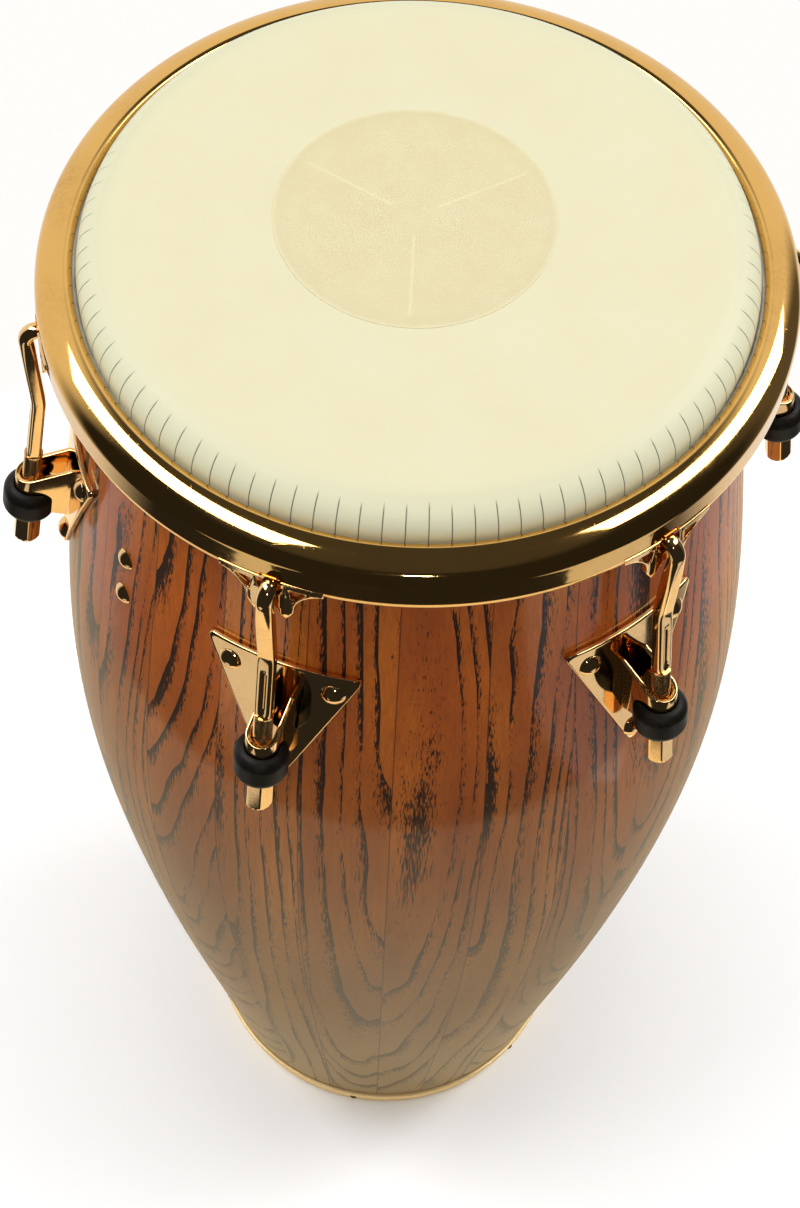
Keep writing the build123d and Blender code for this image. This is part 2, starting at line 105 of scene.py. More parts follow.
# lug hardware
HOOK_TOP = 722.8
HOOK_THICKNESS = 7.6
HOOK_GAP = 6.6
HOOK_MIDDLE = 179.5
KNEE_HEIGHT = 666.0
ROD_RADIUS = 4.76
THREAD_PITCH = 25.4 / 16
THREAD_START = 42.0
ROD_END = 24.0
THREAD_DEPTH = 0.62
FOOT_TO_JOINT = 12.0
NUT_FLATS = 12.7
NUT_LENGTH = 30.0
NUT_CLEARANCE = 0.06
PLATE_THICKNESS = 3.0
PLATE_TOP = 637.0
PLATE_BOTTOM = 541.0
PLATE_HALF_WIDTH = 40.0
PLATE_TILT = math.radians(7.3)
PLATE_MID_HEIGHT = 590.0
STRAP_SHEET = 2.5
STRAP_INNER_HALF = 5.7
STRAP_NOSE_HEIGHT = 22.0
STRAP_WALL_HEIGHT = 37.0
STRAP_REACH = 27.0
WASHER_THICKNESS = 2.0
BOLT_PLACES = [(-26.5, 624.5), (26.5, 624.5), (0.0, 556.0)]
BOLT_HEAD_RADIUS = 6.2
BOLT_HEAD_HEIGHT = 3.4
BOLT_SHANK_RADIUS = 3.0
BOLT_LENGTH = 26.0


# ---------------------------------------------------------------- meshes
def make_object(name, points, faces, smooth_angle=35.0):
    """Mesh object from points in millimetres, smooth except across sharp edges."""
    mesh = bpy.data.meshes.new(name)
    mesh.from_pydata([Vector(p) * MM for p in points], [], faces)
    mesh.validate()
    finish_mesh(mesh, smooth_angle)
    obj = bpy.data.objects.new(name, mesh)
    bpy.context.scene.collection.objects.link(obj)
    return obj


def finish_mesh(mesh, smooth_angle):
    """Outward normals, and smooth shading that breaks at sharp edges."""
    work = bmesh.new()
    work.from_mesh(mesh)
    bmesh.ops.recalc_face_normals(work, faces=work.faces)
    work.to_mesh(mesh)
    work.free()
    mesh.shade_smooth()
    mesh.set_sharp_from_angle(angle=math.radians(smooth_angle))


def ring_faces(rows, columns, wrap_rows=False, wrap_columns=True):
    """Quads between rows of points, each row of the same number of columns."""
    faces = []
    for i in range(rows if wrap_rows else rows - 1):
        for j in range(columns if wrap_columns else columns - 1):
            a, b = i * columns, (i + 1) % rows * columns
            k = (j + 1) % columns
            faces.append((a + j, a + k, b + k, b + j))
    return faces


def lathe(name, outline, segments=256, smooth_angle=35.0):
    """Closed ring of revolution about Z from a closed outline of (radius, height)."""
    points = []
    for i in range(segments):
        angle = 2 * math.pi * i / segments
        points += [(r * math.cos(angle), r * math.sin(angle), z) for r, z in outline]
    faces = ring_faces(segments, len(outline), wrap_rows=True)
    return make_object(name, points, faces, smooth_angle)


def loft(rings):
    """Points and faces of a closed tube through rings of points, capped at both ends."""
    columns = len(rings[0])
    points = [p for ring in rings for p in ring]
    faces = ring_faces(len(rings), columns)
    faces.append(tuple(range(columns)))
    last = (len(rings) - 1) * columns
    faces.append(tuple(last + j for j in reversed(range(columns))))
    return points, faces


def joined(parts):
    """One list of points and faces from several."""
    points, faces = [], []
    for more_points, more_faces in parts:
        shift = len(points)
        points += list(more_points)
        faces += [tuple(v + shift for v in face) for face in more_faces]
    return points, faces


def arc(a, middle, b, count):
    """Points on the circle through three points of a plane, from a to b."""
    ax, ay, mx, my, bx, by = *a, *middle, *b
    d = 2 * (ax * (my - by) + mx * (by - ay) + bx * (ay - my))
    sa, sm, sb = ax * ax + ay * ay, mx * mx + my * my, bx * bx + by * by
    cx = (sa * (my - by) + sm * (by - ay) + sb * (ay - my)) / d
    cy = (sa * (bx - mx) + sm * (ax - bx) + sb * (mx - ax)) / d
    radius = math.hypot(ax - cx, ay - cy)
    t0 = math.atan2(ay - cy, ax - cx)
    t1 = math.atan2(by - cy, bx - cx)
    tm = math.atan2(my - cy, mx - cx)
    full = 2 * math.pi
    turn = (t1 - t0) % full
    if (tm - t0) % full > turn:
        turn -= full
    steps = [t0 + turn * i / count for i in range(count + 1)]
    return [(cx + radius * math.cos(t), cy + radius * math.sin(t)) for t in steps]


def rounded_path(corners, radii, arc_steps=14, run_step=2.0):
    """Points along straight runs joined by tangent arcs, in a plane."""
    points = [Vector(corners[0])]
    for before, corner, after, radius in zip(corners, corners[1:], corners[2:], radii):
        corner = Vector(corner)
        to_before = (Vector(before) - corner).normalized()
        to_after = (Vector(after) - corner).normalized()
        turn = math.pi - to_before.angle(to_after)
        reach = radius * math.tan(turn / 2)
        start, end = corner + to_before * reach, corner + to_after * reach
        bisector = (to_before + to_after).normalized()
        middle = corner + bisector * (radius / math.cos(turn / 2) - radius)
        points += straight(points[-1], start, run_step)
        points += [Vector(p) for p in arc(start, middle, end, arc_steps)][1:]
    points += straight(points[-1], Vector(corners[-1]), run_step)
    return points


def straight(a, b, step):
    """Points after a up to b, about one step apart."""
    count = max(1, round((b - a).length / step))
    return [a.lerp(b, (i + 1) / count) for i in range(count)]


def superellipse(half_x, half_y, power, count):
    """Closed outline between an ellipse (power 2) and a rounded rectangle (larger)."""
    points = []
    for i in range(count):
        t = 2 * math.pi * i / count
        c, s = math.cos(t), math.sin(t)
        x = math.copysign(abs(c) ** (2 / power), c) * half_x
        y = math.copysign(abs(s) ** (2 / power), s) * half_y
        points.append((x, y))
    return points


def lug_frame(index):
    """Turn about Z that takes the +X side to a lug, and the rod's foot and lean there."""
    joint = joints[f"lug_nut_{index}_turn"]
    place, up = Vector(joint["pos_m"]) / MM, Vector(joint["axis"])
    azimuth = math.atan2(place.y, place.x)
    lean = math.acos(up.z)
    foot_radius = math.hypot(place.x, place.y) - FOOT_TO_JOINT * math.sin(lean)
    foot_height = place.z + FOOT_TO_JOINT * math.cos(lean)
    return azimuth, lean, foot_radius, foot_height


_, LEAN, FOOT_RADIUS, FOOT_HEIGHT = lug_frame(1)


def along_rod(s, out=0.0, side=0.0):
    """Point in lug space: s down the rod from the washer's underside, out across it."""
    r = FOOT_RADIUS + s * math.sin(LEAN) + out * math.cos(LEAN)
    z = FOOT_HEIGHT - s * math.cos(LEAN) + out * math.sin(LEAN)
    return (r, side, z)


def place_on_lugs(name, points, faces, body, node, material, smooth_angle=35.0):
    """Six copies of a piece made in lug space, each on its own lug, body and node."""
    for i in range(1, LUG_COUNT + 1):
        obj = make_object(f"{name}_{i}", points, faces, smooth_angle)
        obj.data.transform(Matrix.Rotation(lug_frame(i)[0], 4, "Z"))
        dress(obj, material)
        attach(obj, body.format(i))
        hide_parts(node.format(i))


def dress(obj, material):
    obj.data.materials.clear()
    obj.data.materials.append(material)


# ---------------------------------------------------------------- materials
class Graph:
    """Shorthand for building one material's nodes."""

    def __init__(self, name):
        self.material = bpy.data.materials.new(name)
        self.material.use_nodes = True
        self.tree = self.material.node_tree
        self.shader = self.tree.nodes["Principled BSDF"]

    def node(self, kind, inputs=(), output=0, **settings):
        made = self.tree.nodes.new(kind)
        for key, value in settings.items():
            setattr(made, key, value)
        for key, value in dict(inputs).items():
            self.plug(made.inputs[key], value)
        return made.outputs[output]

    def plug(self, socket, value):
        if isinstance(value, bpy.types.NodeSocket):
            self.tree.links.new(value, socket)
        else:
            socket.default_value = value

    def math(self, operation, a, b=0.0, c=0.0, clamp=False):
        return self.node("ShaderNodeMath", {0: a, 1: b, 2: c}, operation=operation, use_clamp=clamp)

    def length(self, x, y):
        """Length of the vector (x, y)."""
        squares = self.math("ADD", self.math("MULTIPLY", x, x), self.math("MULTIPLY", y, y))
        return self.math("SQRT", squares)

    def split(self, vector):
        """X, Y and Z of a vector."""
        made = self.tree.nodes.new("ShaderNodeSeparateXYZ")
        self.plug(made.inputs[0], vector)
        return made.outputs

    def noise(self, vector, scale, detail=2.0, roughness=0.5):
        inputs = {"Vector": vector, "Scale": scale, "Detail": detail, "Roughness": roughness}
        return self.node("ShaderNodeTexNoise", inputs)

    def stretch(self, vector, scale):
        return self.node("ShaderNodeVectorMath", {0: vector, 1: scale}, operation="MULTIPLY")

    def ramp(self, factor, stops):
        """Colour ramp through (position, grey or colour) stops."""
        made = self.tree.nodes.new("ShaderNodeValToRGB")
        self.tree.links.new(factor, made.inputs[0])
        elements = made.color_ramp.elements
        while len(elements) < len(stops):
            elements.new(0.5)
        for element, (position, colour) in zip(elements, stops):
            element.position = position
            element.color = (*colour, 1.0) if isinstance(colour, tuple) else (colour,) * 3 + (1.0,)
        return made.outputs[0]

    def mix(self, factor, a, b):
        made = self.tree.nodes.new("ShaderNodeMix")
        made.data_type = "RGBA"
        for socket, value in zip((made.inputs[0], made.inputs[6], made.inputs[7]), (factor, a, b)):
            if isinstance(value, tuple):
                value = (*value, 1.0)
            self.plug(socket, value)
        return made.outputs[2]

    def bump(self, height, distance, strength):
        inputs = {"Height": height, "Distance": distance, "Strength": strength}
        self.plug(self.shader.inputs["Normal"], self.node("ShaderNodeBump", inputs))

    def place(self):
        """Place on the object, in metres."""
        return self.node("ShaderNodeTexCoord", output=3)

    def set(self, **values):
        for key, value in values.items():
            socket = self.shader.inputs[key.replace("_", " ")]
            if isinstance(value, tuple):
                value = (*value, 1.0)
            self.plug(socket, value)


def gold_material(name, colour, tarnish, base_roughness, scratch_depth, metallic=1.0):
    """Plated metal: slight tarnish clouds, fine crossing scratches and a soft orange peel."""
    g = Graph(name)
    place = g.place()
    clouds = g.noise(place, 22.0, detail=6.0, roughness=0.62)
    specks = g.noise(place, 420.0, detail=3.0, roughness=0.7)
    cloudy = g.ramp(clouds, [(0.45, 0.0), (0.72, 1.0)])
    wear = g.math("MULTIPLY", cloudy, g.ramp(specks, [(0.42, 0.35), (0.6, 1.0)]))
    g.set(Base_Color=g.mix(g.math("MULTIPLY", wear, 0.55), colour, tarnish), Metallic=metallic)
    scratch_a = g.noise(g.stretch(place, (1400.0, 90.0, 260.0)), 1.0, detail=2.0)
    scratch_b = g.noise(g.stretch(place, (80.0, 1300.0, 420.0)), 1.0, detail=2.0)
    lines_a = g.ramp(scratch_a, [(0.70, 0.0), (0.76, 1.0)])
    lines = g.math("MAXIMUM", lines_a, g.ramp(scratch_b, [(0.71, 0.0), (0.77, 1.0)]))
    rough = g.math("ADD", g.math("MULTIPLY", wear, 0.08), g.math("MULTIPLY", lines, 0.06))
    g.set(Roughness=g.math("ADD", rough, base_roughness))
    peel = g.noise(place, 60.0, detail=2.0)
    height = g.math("SUBTRACT", g.math("MULTIPLY", peel, 0.6), g.math("MULTIPLY", lines, 0.25))
    g.bump(height, scratch_depth, 0.35)
    return g.material


def wood_material():
    """Lacquered flat-sawn ash: growth rings cut by each stave, dark porous early wood."""
    g = Graph("lacquered_ash")
    grain = g.node("ShaderNodeAttribute", attribute_name="grain", output=1)
    pith = g.node("ShaderNodeAttribute", attribute_name="pith", output=1)
    tone = g.node("ShaderNodeAttribute", attribute_name="tone", output=2)
    across, _, along = g.split(grain)
    heart_across, heart_depth, heart_height = g.split(pith)
    shift_x, shift_y = g.math("MULTIPLY", tone, 37.0), g.math("MULTIPLY", tone, 11.0)
    offset = g.node("ShaderNodeCombineXYZ", {0: shift_x, 1: shift_y})
    seeded = g.node("ShaderNodeVectorMath", {0: grain, 1: offset}, operation="ADD")

    sway = g.noise(g.stretch(seeded, (7.0, 7.0, 2.6)), 1.0, detail=1.0)
    wander = g.noise(g.stretch(seeded, (17.0, 17.0, 5.0)), 1.0, detail=2.0)
    ripple = g.noise(g.stretch(seeded, (150.0, 150.0, 26.0)), 1.0, detail=2.0)
    swaying = g.math("MULTIPLY_ADD", sway, 0.034, -0.017)
    across_heart = g.math("ADD", g.math("SUBTRACT", across, heart_across), swaying)
    from_belly = g.math("SUBTRACT", along, heart_height)
    bow = g.math("MULTIPLY_ADD", tone, 0.17, 0.03)
    bowed = g.math("MULTIPLY", g.math("MULTIPLY", from_belly, from_belly), bow)
    wandering = g.math("MULTIPLY_ADD", wander, 0.018, -0.009)
    distance = g.length(across_heart, g.math("ADD", g.math("ADD", heart_depth, bowed), wandering))
    year, log = g.math("MULTIPLY", distance, 55.0), g.math("MULTIPLY", tone, 9.0)
    years = g.node("ShaderNodeCombineXYZ", {0: year, 1: log})
    uneven = g.noise(years, 1.0, detail=1.0)
    phase = g.math("MULTIPLY_ADD", distance, 1 / RING_PITCH, g.math("MULTIPLY", uneven, 2.4))
    ring = g.math("FRACT", g.math("MULTIPLY_ADD", ripple, 0.16, phase))

    pores = g.noise(g.stretch(seeded, (1500.0, 1500.0, 60.0)), 1.0, detail=2.0, roughness=0.55)
    patchy = g.noise(g.stretch(seeded, (55.0, 55.0, 9.0)), 1.0, detail=2.0)
    ring_stops = [(0.0, 1.0), (0.06, 1.0), (0.15, 0.66), (0.36, 0.26), (0.62, 0.02), (0.985, 0.0), (1.0, 0.8)]
    early = g.ramp(ring, ring_stops)
    early = g.math("MULTIPLY", early, g.ramp(patchy, [(0.32, 0.30), (0.62, 1.0)]))
    boldness = g.ramp(along, [(0.42, 0.0), (0.60, 0.24)])
    early = g.math("MULTIPLY", early, g.math("ADD", boldness, 1.30))
    dark = g.math("ADD", early, g.math("MULTIPLY_ADD", pores, 2.7, -1.35))
    dark = g.math("MULTIPLY_ADD", dark, 2.8, -1.25, clamp=True)
    fibre = g.noise(g.stretch(seeded, (620.0, 620.0, 16.0)), 1.0, detail=4.0, roughness=0.7)
    broad = g.noise(g.stretch(seeded, (24.0, 24.0, 5.0)), 1.0, detail=2.0)

    warm = g.mix(g.ramp(tone, [(0.1, 0.0), (0.9, 1.0)]), (0.60, 0.172, 0.013), (0.50, 0.108, 0.007))
    light = g.mix(g.ramp(broad, [(0.35, 0.0), (0.7, 1.0)]), warm, (0.33, 0.062, 0.006))
    light = g.mix(g.ramp(fibre, [(0.35, 0.0), (0.78, 0.5)]), light, (0.13, 0.033, 0.007))
    # Olive-brown towards the bottom: painted floor reflection, the grey-olive cast that the floor's
    # reflection gives the lower shell, not the wood's own colour.
    painted_floor_reflection = g.ramp(along, [(0.05, 1.0), (0.32, 0.86), (0.50, 0.36), (0.62, 0.0)])
    light = g.mix(g.math("MULTIPLY", painted_floor_reflection, 0.78), light, (0.112, 0.070, 0.010))
    # Paler grey-tan at the foot: painted floor reflection.
    foot = g.ramp(along, [(0.0, 0.62), (0.26, 0.0)])
    light = g.mix(foot, light, (0.36, 0.275, 0.155))
    joint = g.node("ShaderNodeAttribute", attribute_name="joint", output=2)
    seam = g.ramp(joint, [(0.12, 1.0), (0.42, 0.0)])
    veil = g.ramp(along, [(0.0, 0.62), (0.34, 0.76), (0.56, 0.96)])
    dark = g.math("MAXIMUM", g.math("MULTIPLY", dark, veil), g.math("MULTIPLY", seam, 0.7))
    colour = g.mix(dark, light, (0.012, 0.0065, 0.0045))
    g.set(Base_Color=colour, Roughness=0.5, Coat_Weight=0.37, Coat_Roughness=0.09, Coat_IOR=1.5)
    g.shader.inputs["Specular IOR Level"].default_value = 0.08
    orange_peel = g.math("MULTIPLY", g.noise(g.place(), 34.0, detail=2.0), 0.5)
    g.bump(g.math("SUBTRACT", orange_peel, g.math("MULTIPLY", dark, 0.35)), 0.0002, 0.5)
    return g.material


def polar(g):
    """Angle about the drum's axis in turns, from 0 to 1, then the radius and y in metres."""
    x, y, _ = g.split(g.place())
    angle = g.math("DIVIDE", g.math("ARCTAN2", y, x), 2 * math.pi)
    return g.math("ADD", angle, 0.5), g.length(x, y), y


def skin_material():
    """Cream coated film, with creased ticks round the collar: their crease shade is painted dark and
    strongest on the front side, and painted light is on the collar's outer edge.
    """
    g = Graph("head_film")
    angle, radius, y = polar(g)
    place = g.place()
    wave = g.math("FRACT", g.math("MULTIPLY", angle, float(TICK_COUNT)))
    off_line = g.math("ABSOLUTE", g.math("SUBTRACT", wave, 0.5))
    width = g.math("MULTIPLY", off_line, g.math("MULTIPLY", radius, 2 * math.pi / TICK_COUNT))
    line = g.ramp(g.math("MULTIPLY", width, 1000.0), [(0.15, 1.0), (0.38, 0.0)])
    uneven = g.noise(g.stretch(place, (55.0, 55.0, 55.0)), 1.0, detail=1.0)
    start = g.math("ADD", radius, g.math("MULTIPLY_ADD", uneven, 0.006, -0.003))
    zone = g.ramp(g.math("MULTIPLY", start, 5.0), [(0.758, 0.0), (0.772, 1.0)])
    tick = g.math("MULTIPLY", line, zone)
    mottle = g.noise(place, 26.0, detail=5.0, roughness=0.6)
    grain = g.noise(place, 1300.0, detail=2.0)
    flat = g.mix(g.ramp(mottle, [(0.35, 0.0), (0.7, 1.0)]), (0.484, 0.456, 0.312), (0.474, 0.444, 0.296))
    collar = g.ramp(g.math("MULTIPLY", radius, 5.0), [(0.69, 0.0), (0.80, 1.0)])
    shade = g.mix(collar, flat, (0.47, 0.465, 0.320))
    # Paler towards the collar's outer edge: painted light that lifts the shade in the gap by the rim.
    edge = g.ramp(g.math("MULTIPLY", radius, 5.0), [(0.745, 0.0), (0.795, 1.0)])
    shade = g.mix(edge, shade, (0.62, 0.61, 0.43))
    # Ticks painted strongest on the front side and faint behind: painted crease shade, where it shows from
    # the front.
    front_crease_shade = g.ramp(g.math("MULTIPLY_ADD", y, 2.0, 0.5), [(0.46, 1.0), (0.66, 0.12)])
    # Dark tick colour: painted shade in the collar's creases.
    colour = g.mix(g.math("MULTIPLY", g.math("MULTIPLY", tick, 0.85), front_crease_shade), shade, (0.055, 0.05, 0.035))
    g.set(Base_Color=colour, Roughness=0.48)
    g.shader.inputs["Specular IOR Level"].default_value = 0.4
    height = g.math("SUBTRACT", g.math("MULTIPLY", grain, 0.25), tick)
    g.bump(height, 0.0003, 0.4)
    return g.material


def patch_material(centre):
    """Woven round patch with three paler spokes."""
    g = Graph("woven_patch")
    from_axis_x, from_axis_y, _ = g.split(g.place())
    x, y = g.math("SUBTRACT", from_axis_x, centre.x), g.math("SUBTRACT", from_axis_y, centre.y)
    radius = g.length(x, y)
    spoke = 0.0
    for degrees in (-90.0, 30.0, 150.0):
        c, s = math.cos(math.radians(degrees)), math.sin(math.radians(degrees))
        ahead = g.math("ADD", g.math("MULTIPLY", x, c), g.math("MULTIPLY", y, s))
        off = g.math("ABSOLUTE", g.math("SUBTRACT", g.math("MULTIPLY", y, c), g.math("MULTIPLY", x, s)))
        near = g.ramp(g.math("MULTIPLY", off, 1000.0), [(0.55, 1.0), (0.95, 0.0)])
        span = [(0.11, 0.0), (0.14, 1.0), (0.585, 1.0), (0.60, 0.0)]
        inside = g.ramp(g.math("MULTIPLY", ahead, 10.0), span)
        spoke = g.math("MAXIMUM", spoke, g.math("MULTIPLY", near, inside))
    weave_x = g.math("SINE", g.math("MULTIPLY", x, 5200.0))
    weave_y = g.math("SINE", g.math("MULTIPLY", y, 5200.0))
    weave = g.math("MULTIPLY", weave_x, weave_y)
    blotch = g.noise(g.place(), 70.0, detail=6.0, roughness=0.7)
    base = g.mix(g.ramp(blotch, [(0.35, 0.0), (0.68, 1.0)]), (0.466, 0.421, 0.258), (0.446, 0.395, 0.235))
    base = g.mix(g.math("MULTIPLY_ADD", weave, 0.10, 0.10), base, (0.46, 0.39, 0.21))
    edge = g.ramp(g.math("MULTIPLY", radius, 10.0), [(0.645, 0.0), (0.664, 1.0)])
    base = g.mix(g.math("MULTIPLY", edge, 0.35), base, (0.60, 0.555, 0.36))
    g.set(Base_Color=g.mix(g.math("MULTIPLY", spoke, 0.22), base, (0.62, 0.58, 0.385)), Roughness=0.62)
    g.bump(g.math("SUBTRACT", g.math("MULTIPLY", weave, 0.4), spoke), 0.0002, 0.5)
    return g.material


def rubber_material():
    g = Graph("black_rubber")
    place = g.place()
    dust = g.noise(place, 160.0, detail=5.0, roughness=0.7)
    colour = g.mix(g.ramp(dust, [(0.5, 0.0), (0.8, 1.0)]), (0.006, 0.0045, 0.003), (0.020, 0.015, 0.011))
    g.set(Base_Color=colour, Roughness=g.math("MULTIPLY_ADD", dust, 0.22, 0.34))
    g.shader.inputs["Specular IOR Level"].default_value = 0.18
    g.bump(g.noise(place, 900.0, detail=3.0), 0.0001, 0.35)
    return g.material


def steel_material(name, colour, roughness):
    g = Graph(name)
    place = g.place()
    streaks = g.noise(g.stretch(place, (260.0, 260.0, 900.0)), 1.0, detail=4.0)
    blotch = g.noise(place, 55.0, detail=5.0)
    tint = tuple(c * 0.72 for c in colour)
    g.set(Base_Color=g.mix(g.ramp(blotch, [(0.35, 0.0), (0.7, 1.0)]), colour, tint), Metallic=1.0)
    g.set(Roughness=g.math("MULTIPLY_ADD", streaks, 0.3, roughness))
    g.bump(streaks, 0.00008, 0.4)
    return g.material


def bare_wood_material():
    g = Graph("sanded_wood")
    place = g.place()
    fibre = g.noise(g.stretch(place, (60.0, 60.0, 420.0)), 1.0, detail=5.0, roughness=0.65)
    g.set(Base_Color=g.mix(g.ramp(fibre, [(0.3, 0.0), (0.7, 1.0)]), (0.48, 0.31, 0.16), (0.33, 0.19, 0.09)))
    g.set(Roughness=0.7)
    g.bump(fibre, 0.0003, 0.4)
    return g.material


GOLD = gold_material("gold_plate", (0.89, 0.57, 0.25), (0.58, 0.30, 0.10), 0.055, 0.00004)
RIM_GOLD = gold_material("rim_gold", (0.78, 0.46, 0.135), (0.50, 0.27, 0.08), 0.045, 0.00005)
BAND_GOLD = gold_material("band_gold", (0.95, 0.70, 0.34), (0.84, 0.56, 0.24), 0.30, 0.00006, 0.4)
WOOD = wood_material()
SKIN = skin_material()
RUBBER = rubber_material()
INNER_STEEL = steel_material("zinc_steel", (0.60, 0.60, 0.58), 0.28)
DARK_STEEL = steel_material("dark_steel", (0.16, 0.09, 0.05), 0.35)
HOOP_METAL = steel_material("hoop_aluminium", (0.75, 0.75, 0.74), 0.25)
BARE_WOOD = bare_wood_material()


# ---------------------------------------------------------------- shell
def shell_profile():
    """Function from height to the shell's outer radius, fitted to the CAD staves."""
    coordinates = numpy.array([v.co for v in nodes["shell_staves"].data.vertices]) / MM
    radius = numpy.hypot(coordinates[:, 0], coordinates[:, 1])
    height = coordinates[:, 2]
    by_height = {}
    for r, z in zip(radius, height):
        key = round(float(z), 1)
        by_height[key] = max(by_height.get(key, 0.0), float(r))
    heights = sorted(z for z in by_height if z <= SHELL_TOP)
    outer = [(z, by_height[z]) for z in heights if is_outer(z, by_height)]
    fit = numpy.polynomial.Polynomial.fit([z for z, _ in outer], [r for _, r in outer], 9)
    return lambda z: float(fit(z))


def is_outer(z, by_height):
    """Whether the largest radius found at a height is on the outside, not the inside face."""
    near = [r for other, r in by_height.items() if abs(other - z) < 30.0]
    return by_height[z] > max(near) - STAVE_THICKNESS * 0.75


shell_radius = shell_profile()


def stave_outline():
    """Closed section of a stave, outer face first: list of (radius, height)."""
    steps = 64
    heights = [SHELL_TOP * i / steps for i in range(steps + 1)]
    outer = [(shell_radius(z), z) for z in heights]
    edge = arc(outer[-1], EDGE_ROUND, EDGE_CREST, 8)[1:]
    inner = [(shell_radius(z) - STAVE_THICKNESS, z) for z in reversed(heights)]
    return outer + edge + inner


def make_staves():
    """All the staves as closed solids in one mesh, each with its own cut through the log."""
    random.seed(11)
    outline = stave_outline()
    pitch = 2 * math.pi / STAVE_COUNT
    across = 8
    points, faces = [], []
    grain, pith, tone, joint = [], [], [], []
    for k in range(STAVE_COUNT):
        heart = (random.uniform(-0.030, 0.030), random.uniform(0.004, 0.028), random.uniform(0.50, 0.90))
        seed = random.random()
        rings = []
        for j in range(across + 1):
            turn = j / across
            angle = (k + turn) * pitch
            rings.append([(r * math.cos(angle), r * math.sin(angle), z) for r, z in outline])
            for r, z in outline:
                grain.append(((turn - 0.5) * pitch * r * MM, r * MM, z * MM))
                pith.append(heart)
                tone.append(seed)
                joint.append(min(turn, 1 - turn) * pitch * r)
        shift = len(points)
        columns = len(outline)
        for ring in rings:
            points += ring
        stave = ring_faces(across + 1, columns)
        stave += strip_caps(columns, across)
        faces += [tuple(v + shift for v in face) for face in stave]
    obj = make_object("shell_staves_turned", points, faces, 30.0)
    store(obj.data, "grain", "FLOAT_VECTOR", grain)
    store(obj.data, "pith", "FLOAT_VECTOR", pith)
    store(obj.data, "tone", "FLOAT", tone)
    store(obj.data, "joint", "FLOAT", joint)
    dress(obj, WOOD)
    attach(obj, "shell")
    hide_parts("shell_staves")


def strip_caps(columns, across):
    """Quads that close the two glued sides of a stave, outer edge to inner edge."""
    caps = []
    half = columns // 2
    for base, flip in ((0, False), (across * columns, True)):
        for i in range(half):
            a, b = i, i + 1
            c, d = columns - 2 - i, columns - 1 - i
            if b >= c:
                face = (a, b, d) if b == c else None
            else:
                face = (a, b, c, d)
            if face:
                caps.append(tuple(base + v for v in (reversed(face) if flip else face)))
    return caps


def store(mesh, name, kind, values):
    """Per-point attribute, given in the order of the points."""
    layer = mesh.attributes.new(name, kind, "POINT")
    key = "vector" if kind == "FLOAT_VECTOR" else "value"
    flat = [c for v in values for c in v] if kind == "FLOAT_VECTOR" else values
    layer.data.foreach_set(key, flat)


def make_band():
    """Plated band round the foot, a little rounded at its top outer edge."""
    low, high = shell_radius(0.0) + BAND_GAP, shell_radius(BAND_HEIGHT) + BAND_GAP
    face = high + BAND_THICKNESS
    outline = [(low, 0.0), (low + BAND_THICKNESS - 0.5, 0.0)]
    outline += [(low + BAND_THICKNESS, 0.5), (face, BAND_HEIGHT - 1.0)]
    outline += arc(outline[-1], (face - 0.3, BAND_HEIGHT - 0.3), (high + 1.1, BAND_HEIGHT), 5)[1:]
    outline.append((high, BAND_HEIGHT))
    band = lathe("bottom_band_ring", outline, 256, 50.0)
    dress(band, BAND_GOLD)
    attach(band, "shell")
    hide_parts("bottom_band")


# ---------------------------------------------------------------- head
def make_skin():
    """Film: flat top, quarter-round collar and a short skirt, with its real thickness."""
    top = HEIGHT - PATCH_THICKNESS
    collar = HEAD_COLLAR_RADIUS - HEAD_FLAT_RADIUS
    centre = (HEAD_FLAT_RADIUS, top - collar)

    def quarter(radius, steps=20):
        angles = [math.pi / 2 * i / steps for i in range(steps + 1)]
        return [(centre[0] + radius * math.sin(a), centre[1] + radius * math.cos(a)) for a in angles]

    flat = [0.0, 40.0, 75.0, 100.0, 120.0, 132.0]
    outer = [(r, top) for r in flat] + quarter(collar) + [(HEAD_COLLAR_RADIUS, SKIN_FOOT)]
    inner = [(r, top - SKIN_THICKNESS) for r in flat] + quarter(collar - SKIN_THICKNESS)
    inner.append((HEAD_COLLAR_RADIUS - SKIN_THICKNESS, SKIN_FOOT))
    outline = outer + inner[::-1]
    segments = 256
    turns = [2 * math.pi * i / segments for i in range(segments)]
    points = []
    for r, z in outline[1:-1]:
        points += [(r * math.cos(a), r * math.sin(a), z) for a in turns]
    rows = len(outline) - 2
    faces = ring_faces(rows, segments)
    top_pole, low_pole = len(points), len(points) + 1
    points += [(0.0, 0.0, top), (0.0, 0.0, top - SKIN_THICKNESS)]
    last = (rows - 1) * segments
    for i in range(segments):
        k = (i + 1) % segments
        faces.append((top_pole, i, k))
        faces.append((low_pole, last + k, last + i))
    skin = make_object("head_skin_film", points, faces, 60.0)
    dress(skin, SKIN)
    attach(skin, "shell")
    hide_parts("head_skin")


def make_patch():
    """Thin disc on the film, with a small bevel round its top."""
    low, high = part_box("head_centre_patch")
    centre = (low + high) / 2
    radius = (high.x - low.x) / 2 / MM
    segments = 192
    profile = [(radius, low.z / MM), (radius, high.z / MM - 0.12), (radius - 0.2, high.z / MM)]
    profile += [(radius * f, high.z / MM) for f in (0.8, 0.5, 0.2)]
    turns = [2 * math.pi * i / segments for i in range(segments)]
    x, y = centre.x / MM, centre.y / MM
    rings = [[(x + r * math.cos(a), y + r * math.sin(a), z) for a in turns] for r, z in profile]
    points, faces = loft(rings)
    patch = make_object("head_patch_disc", points, faces, 40.0)
    dress(patch, patch_material(centre))
    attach(patch, "shell")
    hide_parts("head_centre_patch")


